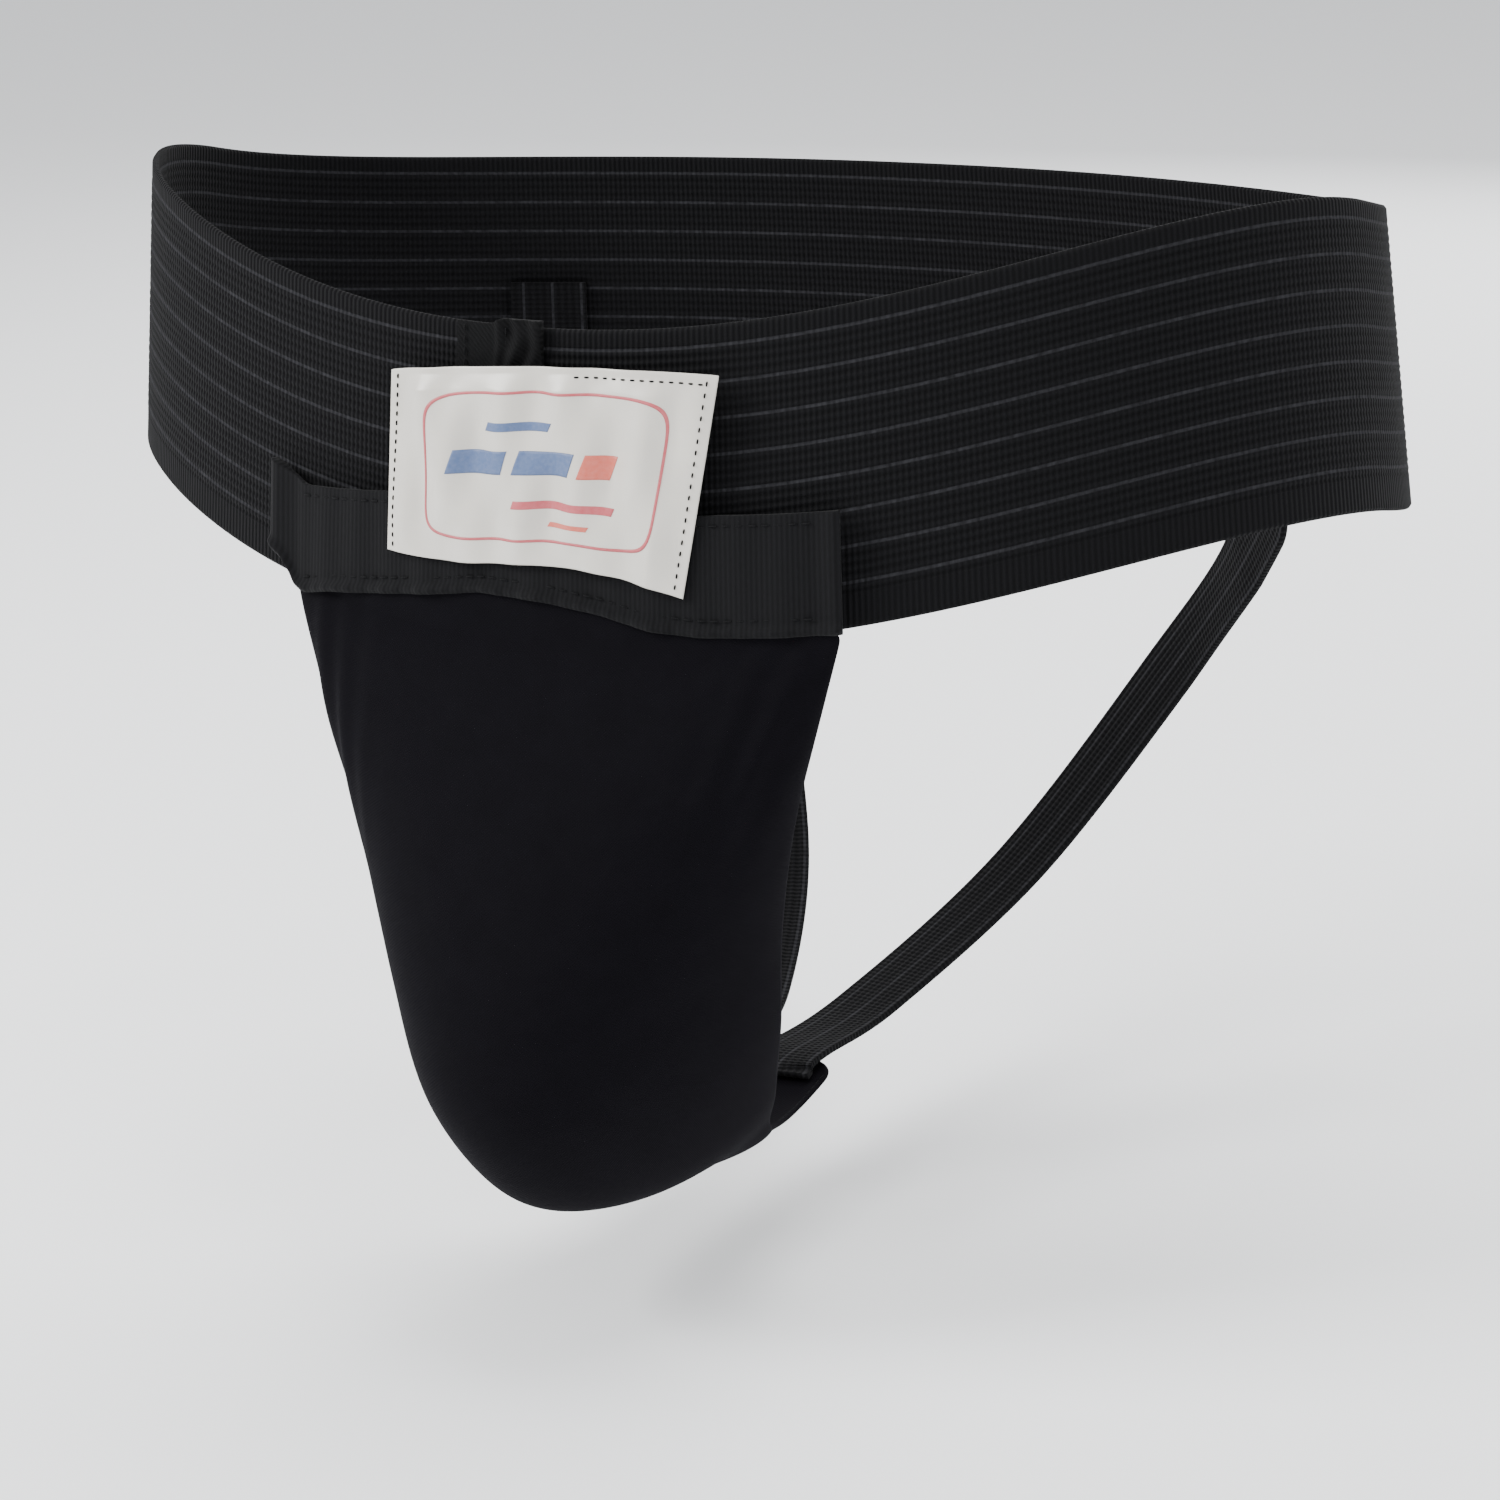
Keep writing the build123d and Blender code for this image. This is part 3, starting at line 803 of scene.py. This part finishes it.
lining_start, lining_end = 0.95, 7.2
lining_slack = 4.5
lining_thickness = 0.8
lining_positions = np.linspace(lining_start, lining_end, 80)
lining_sections = section_at(lining_positions)
line = np.stack(
    [
        0 * lining_positions,
        front_place[1] + lining_sections[:, 1],
        front_place[2] - lining_sections[:, 2],
    ],
    -1,
)
step = np.gradient(line, axis=0)
step = step / np.linalg.norm(step, axis=1, keepdims=True)
slack_way = np.cross(np.array([1.0, 0, 0]), step)
line = line + slack_way * lining_slack
side = np.linspace(-1, 1, 70)
reach = (lining_sections[:, 0] - 1.9)[:, None]
lining_mid = line[:, None, :] + reach[..., None] * side[None, :, None] * np.array([1.0, 0, 0])
sway_fade = np.exp(-((lining_positions - 1) ** 2) / 0.6)[:, None]
sway = 0.8 * np.sin(side * 9)[None] * sway_fade * (1 - side**4)[None]
lining_mid = lining_mid + slack_way[:, None, :] * sway[..., None]
half_lining = slack_way[:, None, :] * lining_thickness / 2
lining_front = lining_mid - half_lining
lining_back = lining_mid + half_lining

# Black polyester mesh: small dark cells, whose base colour is painted darker in their middles as
# shade and lighter on their threads as a painted highlight, besides a little real sheen.
mesh_cloth, tree = blank_material("polyester_mesh_knit")
uv = add(tree, "ShaderNodeUVMap", uv_map="millimetres")
cells = add(
    tree, "ShaderNodeTexVoronoi", {"Vector": uv.outputs[0], "Scale": 0.55, "Randomness": 0.15}
)
# Painted shade and highlight: the cell pattern darkens each cell's middle and lightens its threads.
tone = add(
    tree,
    "ShaderNodeMix",
    {0: cells.outputs[0], 6: linear("#09090a"), 7: linear("#202023")},
    data_type="RGBA",
)
bump = add(
    tree, "ShaderNodeBump", {"Height": cells.outputs[0], "Distance": 0.0003, "Strength": 0.7}
)
shader = add(
    tree,
    "ShaderNodeBsdfPrincipled",
    {
        "Base Color": tone.outputs[2],
        "Roughness": 0.85,
        "Sheen Weight": 0.1,
        "Normal": bump.outputs[0],
    },
)
finish_material(tree, shader)
lining = slab(
    "pocket_lining_mesh",
    lining_front,
    lining_back,
    reach * side[None],
    lining_positions[:, None] * 28,
    mesh_cloth,
)
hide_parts("pocket_lining")

# ---- Leg straps ----
# Two 22 mm woven elastics, tacked inside the pouch's end and inside the band's back. They
# pass under the seat, one round each thigh.

strap_width, strap_thickness = 22.0, 1.6
strap_lift = 2.6
strap_angle = math.radians(140.0)
strap_level = -3.3
hem = band_at_angle(np.array([strap_angle]), -band_half, strap_level)[0]
hem_top = band_at_angle(np.array([strap_angle]), 0.5, strap_level)[0]
rear_step = np.diff(band_at_angle(strap_angle + np.array([-0.02, 0.02]), 0, 0), axis=0)[0]
rear_out = np.array([rear_step[1], -rear_step[0]]) / math.hypot(rear_step[0], rear_step[1])
lap_angle = np.radians(29.0)
lap = pouch(np.array([8.5]), np.array([lap_angle]))[0] + (0, 0, strap_lift)
leave = pouch(np.array([9.0]), np.array([lap_angle]))[0] + (0, 0, strap_lift)


def smooth_line(points, count):
    """A curve through points by cubics whose slopes are central steps, at even parameters."""
    points = np.asarray(points, float)
    last = len(points) - 1
    place = np.linspace(0, last, count)
    i = np.minimum(place.astype(int), last - 1)
    f = (place - i)[:, None]
    a, b = points[i], points[i + 1]
    before, after = points[np.maximum(i - 1, 0)], points[np.minimum(i + 2, last)]
    ease = f * f * (3 - 2 * f)
    first_bend = (b - before) / 2 * f * (1 - f) ** 2
    last_bend = (after - a) / 2 * f * f * (1 - f)
    return a + (b - a) * ease + first_bend - last_bend


strap_line = smooth_line(
    [
        lap,
        leave,
        leave + (6, 35, 4),
        leave + (28, 87, 32),
        hem + (-42, 26, -66),
        hem + (-14, 14, -28),
        hem,
        hem_top,
    ],
    260,
)
for name, mirror in (("leg_strap_left", 1), ("leg_strap_right", -1)):
    line = strap_line * (mirror, 1, 1)
    ahead = np.gradient(line, axis=0)
    ahead = ahead / np.linalg.norm(ahead, axis=1, keepdims=True)
    share = np.linspace(0, 1, len(line))[:, None]
    front_face = np.array([0.05 * mirror, 0, -1])
    rear_face = np.array([mirror * rear_out[0], rear_out[1], 0])
    normal = front_face * (1 - share) + rear_face * share
    out_side = np.cross(ahead, normal)
    out_side = out_side / np.linalg.norm(out_side, axis=1, keepdims=True)
    face_way = np.cross(out_side, ahead)
    width = np.linspace(-strap_width / 2, strap_width / 2, 45)
    middle_grid = line[:, None] + out_side[:, None] * width[None, :, None]
    # Its last part is sewn flat to the band, whose curve it takes.
    lap_height = line[:, 2:3] - band_at_angle(strap_angle, 0.0, 0.0)[2]
    lap_arc = np.interp(strap_angle * mirror, table_angles, table_arcs) - mirror * width[None]
    against = band(lap_arc, lap_height, -0.95)
    sewn = np.clip((lap_height + 52) / 26, 0, 1) * (np.arange(len(line)) > 150)[:, None]
    sewn = (sewn * sewn * (3 - 2 * sewn))[..., None]
    middle_grid = middle_grid * (1 - sewn) + against * sewn
    ridge = 0.08 * np.cos(2 * np.pi * width / 2.2)[None, :, None]
    length_mm = np.r_[0, np.cumsum(np.linalg.norm(np.diff(line, axis=0), axis=1))][:, None]
    strap = slab(
        name + "_elastic",
        middle_grid + face_way[:, None] * (strap_thickness / 2 + ridge),
        middle_grid - face_way[:, None] * (strap_thickness / 2 + ridge),
        length_mm,
        width[None],
        band_cloth,
    )
    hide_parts(name)

# ---- Cup ----
# A hard polypropylene shell with vent slots, moulded in one piece, and a soft bead of
# rubber along the inside of its edge.

# Natural polypropylene: milky off-white, satin from its mould, with light in its thin edges.
shell_plastic, tree = blank_material("moulded_polypropylene")
place = add(tree, "ShaderNodeTexCoord")
haze = add(
    tree, "ShaderNodeTexNoise", {"Vector": place.outputs["Object"], "Scale": 900.0, "Detail": 3.0}
)
shade = add(
    tree, "ShaderNodeTexNoise", {"Vector": place.outputs["Object"], "Scale": 18.0, "Detail": 3.0}
)
tone = add(
    tree,
    "ShaderNodeMix",
    {0: shade.outputs[0], 6: linear("#d5d6d3"), 7: linear("#e6e6e2")},
    data_type="RGBA",
)
bump = add(
    tree, "ShaderNodeBump", {"Height": haze.outputs[0], "Distance": 0.00005, "Strength": 0.3}
)
shader = add(
    tree,
    "ShaderNodeBsdfPrincipled",
    {
        "Base Color": tone.outputs[2],
        "Roughness": 0.38,
        "IOR": 1.49,
        "Subsurface Weight": 0.08,
        "Normal": bump.outputs[0],
    },
)
finish_material(tree, shader)
# Moulded rubber: near black, with a fine grit and a dull soft shine.
bead_rubber, tree = blank_material("soft_moulded_rubber")
place = add(tree, "ShaderNodeTexCoord")
grit = add(
    tree, "ShaderNodeTexNoise", {"Vector": place.outputs["Object"], "Scale": 1200.0, "Detail": 4.0}
)
bump = add(
    tree, "ShaderNodeBump", {"Height": grit.outputs[0], "Distance": 0.00005, "Strength": 0.4}
)
tone = add(
    tree,
    "ShaderNodeMix",
    {0: grit.outputs[0], 6: linear("#141416"), 7: linear("#232326")},
    data_type="RGBA",
)
shader = add(
    tree,
    "ShaderNodeBsdfPrincipled",
    {"Base Color": tone.outputs[2], "Roughness": 0.6, "IOR": 1.52, "Normal": bump.outputs[0]},
)
finish_material(tree, shader)
for node_name, material in (("cup_shell", shell_plastic), ("cup_rim", bead_rubber)):
    node_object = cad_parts[node_name]
    node_object.data.materials.clear()
    node_object.data.materials.append(material)

# ---- Sewing ----
# Bonded polyester thread: every seam is a row of single stitches pulled into the cloth.

# Black bonded thread: a slight twist, barely lighter than the cloth it lies in.
thread_material, tree = blank_material("bonded_polyester_thread")
uv = add(tree, "ShaderNodeUVMap", uv_map="millimetres")
twist = add(
    tree, "ShaderNodeTexWave", {"Vector": uv.outputs[0], "Scale": 1.2}, bands_direction="DIAGONAL"
)
tone = add(
    tree,
    "ShaderNodeMix",
    {0: twist.outputs[1], 6: linear("#050506"), 7: linear("#101012")},
    data_type="RGBA",
)
shader = add(
    tree,
    "ShaderNodeBsdfPrincipled",
    {"Base Color": tone.outputs[2], "Roughness": 0.75, "Specular IOR Level": 0.12},
)
finish_material(tree, shader)


def stitches(name, line, out, length, thickness, nodes):
    """A row of stitches: a six-sided spindle at each point, along the row's direction."""
    ahead = np.gradient(line, axis=0)
    ahead = ahead / np.linalg.norm(ahead, axis=1, keepdims=True)
    out = out - (out * ahead).sum(1, keepdims=True) * ahead
    out = out / np.linalg.norm(out, axis=1, keepdims=True)
    aside = np.cross(ahead, out)
    around = np.linspace(0, 2 * np.pi, 7)[:-1]
    along_share = np.array([-1.0, -0.75, 0.0, 0.75, 1.0])
    fat = np.array([0.35, 0.85, 1.0, 0.85, 0.35])
    dip = -0.35 * along_share**2
    rise = (fat[:, None] * np.cos(around) + dip[:, None]) * thickness / 2
    spread = fat[:, None] * np.sin(around) * thickness / 2
    shape = (
        ahead[:, None, None] * along_share[None, :, None, None] * length / 2
        + out[:, None, None] * rise[None, :, :, None]
        + aside[:, None, None] * spread[None, :, :, None]
    )
    points = (line[:, None, None] + shape).reshape(-1, 3)
    index = np.arange(len(line) * 30).reshape(len(line), 5, 6)
    ahead_index = np.roll(index, -1, axis=2)
    sides = [index[:, :-1], ahead_index[:, :-1], ahead_index[:, 1:], index[:, 1:]]
    sides = np.stack(sides, -1).reshape(-1, 4)
    first, last = index[:, 0], index[:, -1]
    caps = np.concatenate(
        [
            first[:, [0, 5, 4, 3]],
            first[:, [3, 2, 1, 0]],
            last[:, [0, 1, 2, 3]],
            last[:, [3, 4, 5, 0]],
        ]
    )
    where = np.repeat(np.arange(len(line)) * 3.0, 30)
    across = np.stack([where, np.tile(np.repeat(along_share, 6), len(line))], -1)
    piece = new_piece(
        name, points, np.concatenate([sides, caps]), across, thread_material
    )
    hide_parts(*nodes)


def band_row(start, end, height, level, pitch):
    """Points along the band at a fixed height, a stitch apart, and their outward ways."""
    arc = np.arange(start, end, pitch)
    row_height = height(arc) if callable(height) else height
    points = band(arc, row_height, level(arc) if callable(level) else level)
    return points, band(arc, row_height, 9.0) - band(arc, row_height, 6.0)


def tape_low_at(arc):
    """The height of the tape's lower edge."""
    return np.interp(arc, tape_arcs, tape_low[0])


def tape_high_at(arc):
    """The height of the tape's upper edge."""
    return np.interp(arc, tape_arcs, tape_high[0])


stitches(
    "tape_stitches_upper",
    *band_row(-66, 72, lambda a: tape_high_at(a) - 2.4, tape_level + 1.3, 3.2),
    2.2,
    0.5,
    ["tape_stitching_upper"],
)
stitches(
    "tape_stitches_lower",
    *band_row(-66, 72, lambda a: tape_low_at(a) + 4.0, tape_level + 1.3, 3.2),
    2.2,
    0.5,
    ["tape_stitching_lower"],
)


def label_row(u, v):
    """Points on the label's face, and their outward ways."""
    return label_surface(u, v, 0.6), label_surface(u, v, 3.0) - label_surface(u, v, 0.0)


label_seam = np.linspace(0.04, 0.96, 19)
left_points, left_out = label_row(0.024 + 0 * label_seam, label_seam)
right_points, right_out = label_row(0.972 + 0 * label_seam, label_seam)
top_seam = np.linspace(0.6, 0.955, 14)
top_points, top_out = label_row(top_seam, 0.955 + 0 * top_seam)
for name, points, out in (
    ("label_stitches_left", left_points, left_out),
    ("label_stitches_right", right_points, right_out),
    ("label_stitches_top", top_points, top_out),
):
    stitches(name, points, out, 1.2, 0.5, ["label_stitching"])

cover_heights_row = np.arange(28.0, 37.0, 2.8)
for name, arc in (("cover_stitches_left", -18.5), ("cover_stitches_right", -6.5)):
    points = band(arc + 0 * cover_heights_row, cover_heights_row, 3.2)
    out = band(arc + 0 * cover_heights_row, cover_heights_row, 9.0) - points
    stitches(name, points, out, 2.0, 0.45, ["cover_stitching"])

for name, mirror in (("side_seam_left", 1), ("side_seam_right", -1)):
    seam_positions = np.linspace(0.3, 8.6, 74)
    seam_angle = np.radians(80.0) * mirror
    side_of = np.sin(seam_angle) + 0 * seam_positions
    points = pulled_in(
        pouch(seam_positions, seam_angle + 0 * seam_positions), seam_positions, side_of
    )
    nearby_angle = seam_angle - mirror * 0.08
    nearby = pulled_in(
        pouch(seam_positions, nearby_angle + 0 * seam_positions), seam_positions, side_of
    )
    along_seam = np.gradient(points, axis=0)
    out = np.cross(nearby - points, along_seam) * mirror
    out = out / np.linalg.norm(out, axis=1, keepdims=True)
    stitches(name + "_stitches", points + out * 0.1, out, 2.0, 0.4, [name])

for name, mirror in (("front_tack_left", 1), ("front_tack_right", -1)):
    place = (lap * 0.5 + leave * 0.5) * (mirror, 1, 1)
    offsets = np.linspace(-8, 8, 15)[:, None] * np.array([1.0, 0, 0])
    rows = [place + offsets + (0, dy, 0.95 + 0.3 * dy) for dy in (-1.6, 1.6)]
    points = np.concatenate(rows)
    stitches(
        name + "_stitches", points, np.tile([0, -0.25, 1.0], (len(points), 1)), 1.6, 0.5, [name]
    )

for name, mirror in (("rear_tack_left", 1), ("rear_tack_right", -1)):
    centre_arc = np.interp(strap_angle * mirror, table_angles, table_arcs)
    box_arcs = centre_arc + np.linspace(-9, 9, 9)
    box_heights = np.linspace(-34, -4, 12)
    loop_arcs = np.r_[box_arcs, np.full(12, box_arcs[-1]), box_arcs[::-1], np.full(12, box_arcs[0])]
    loop_heights = np.r_[np.full(9, -34.5), box_heights, np.full(9, -3.5), box_heights[::-1]]
    points = band(loop_arcs, loop_heights, band_thickness + 0.2)
    out = band(loop_arcs, loop_heights, 8.0) - points
    stitches(name + "_stitches", points, out, 1.7, 0.5, [name])
